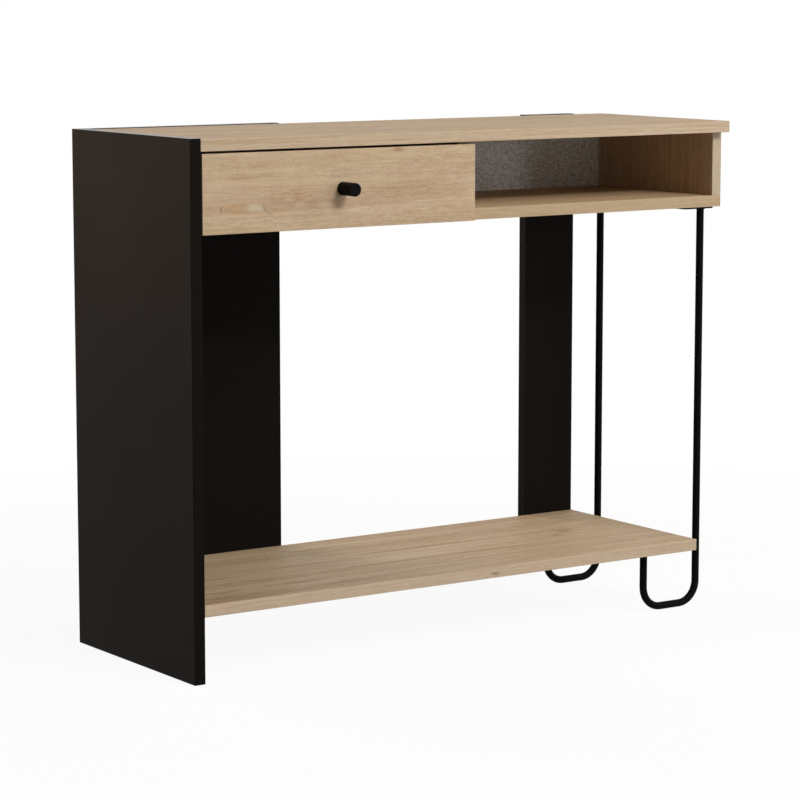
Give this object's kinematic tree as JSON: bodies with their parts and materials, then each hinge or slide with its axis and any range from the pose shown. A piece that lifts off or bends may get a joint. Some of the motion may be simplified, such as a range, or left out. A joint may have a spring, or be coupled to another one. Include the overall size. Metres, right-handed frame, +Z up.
{
  "type": "writing desk",
  "caption": "Narrow writing desk: black side panel, bent-rod legs, oak-look top, lower shelf and box with a knobbed drawer beside an open niche.",
  "frame": {"origin": "on the floor, at the middle of the width and of the depth with the knob", "axes": "+X along the desk from the side panel to the rod legs, +Y from the drawer front to the back, +Z up"},
  "size_m": [1, 0.386, 0.793],
  "materials": {
    "oak_board": "oak-pattern laminate on board, satin",
    "black_board": "black laminate on board, satin",
    "woven_board": "laminate with a woven-cloth pattern",
    "drawer_board": "light grey foil on board",
    "hardboard": "thin painted hardboard",
    "dowel_wood": "beech, bare",
    "black_steel": "black powder coat",
    "runner_steel": "white powder coat",
    "zinc_steel": "zinc-plated",
    "roller_nylon": "natural nylon",
    "knob_black": "black, matt"
  },
  "bodies": {
    "carcass": {"back_board": "woven_board", "box_floor": "oak_board", "box_floor_screws": "zinc_steel", "cabinet_roller_pins": "zinc_steel", "cabinet_runner_left": "runner_steel", "cabinet_runner_right": "runner_steel", "cabinet_runner_screws": "zinc_steel", "cam_bolts": "zinc_steel", "cam_locks": "zinc_steel", "front_rod_leg": "black_steel", "front_shelf_plate": "black_steel", "front_top_plate": "black_steel", "left_side_panel": "black_board", "lower_shelf": "oak_board", "narrow_upright": "black_board", "partition": "oak_board", "plate_screws": "zinc_steel", "rear_rod_leg": "black_steel", "rear_shelf_plate": "black_steel", "rear_top_plate": "black_steel", "right_short_side": "oak_board", "tabletop": "oak_board", "upright_screws": "zinc_steel", "wide_upright": "black_board", "wood_dowels": "dowel_wood"},
    "drawer": {"drawer_front": "oak_board", "drawer_side_left": "drawer_board", "drawer_side_right": "drawer_board", "drawer_back": "drawer_board", "drawer_bottom": "hardboard", "drawer_back_screws": "zinc_steel", "drawer_bottom_screws": "zinc_steel", "drawer_cam_bolts": "zinc_steel", "drawer_cam_locks": "zinc_steel", "knob": "knob_black", "knob_screw": "zinc_steel", "drawer_runner_left": "runner_steel", "drawer_runner_right": "runner_steel", "drawer_runner_screws": "zinc_steel", "drawer_roller_pins": "zinc_steel"},
    "front_roller_left": {"front_roller_left": "roller_nylon"},
    "front_roller_right": {"front_roller_right": "roller_nylon"},
    "rear_roller_left": {"rear_roller_left": "roller_nylon"},
    "rear_roller_right": {"rear_roller_right": "roller_nylon"}
  },
  "joints": [
    {"name": "drawer_slide", "type": "slide", "parent": "carcass", "child": "drawer", "axis": [0, -1, 0], "range_m": [0, 0.19]},
    {"name": "front_roller_left_spin", "type": "hinge", "parent": "carcass", "child": "front_roller_left", "pos_m": [-0.4761, -0.125, 0.6898], "axis": [1, 0, 0], "range_deg": [0, 1365]},
    {"name": "front_roller_right_spin", "type": "hinge", "parent": "carcass", "child": "front_roller_right", "pos_m": [-0.0259, -0.125, 0.6898], "axis": [1, 0, 0], "range_deg": [0, 1365]},
    {"name": "rear_roller_left_spin", "type": "hinge", "parent": "drawer", "child": "rear_roller_left", "pos_m": [-0.4761, 0.099, 0.6885], "axis": [1, 0, 0], "range_deg": [0, 1215]},
    {"name": "rear_roller_right_spin", "type": "hinge", "parent": "drawer", "child": "rear_roller_right", "pos_m": [-0.0259, 0.099, 0.6885], "axis": [1, 0, 0], "range_deg": [0, 1215]}
  ],
  "couplings": [
    {"joint": "front_roller_left_spin", "follows": "drawer_slide", "rad_per_m": 125},
    {"joint": "front_roller_right_spin", "follows": "drawer_slide", "rad_per_m": 125},
    {"joint": "rear_roller_left_spin", "follows": "drawer_slide", "rad_per_m": 111.11},
    {"joint": "rear_roller_right_spin", "follows": "drawer_slide", "rad_per_m": 111.11}
  ]
}
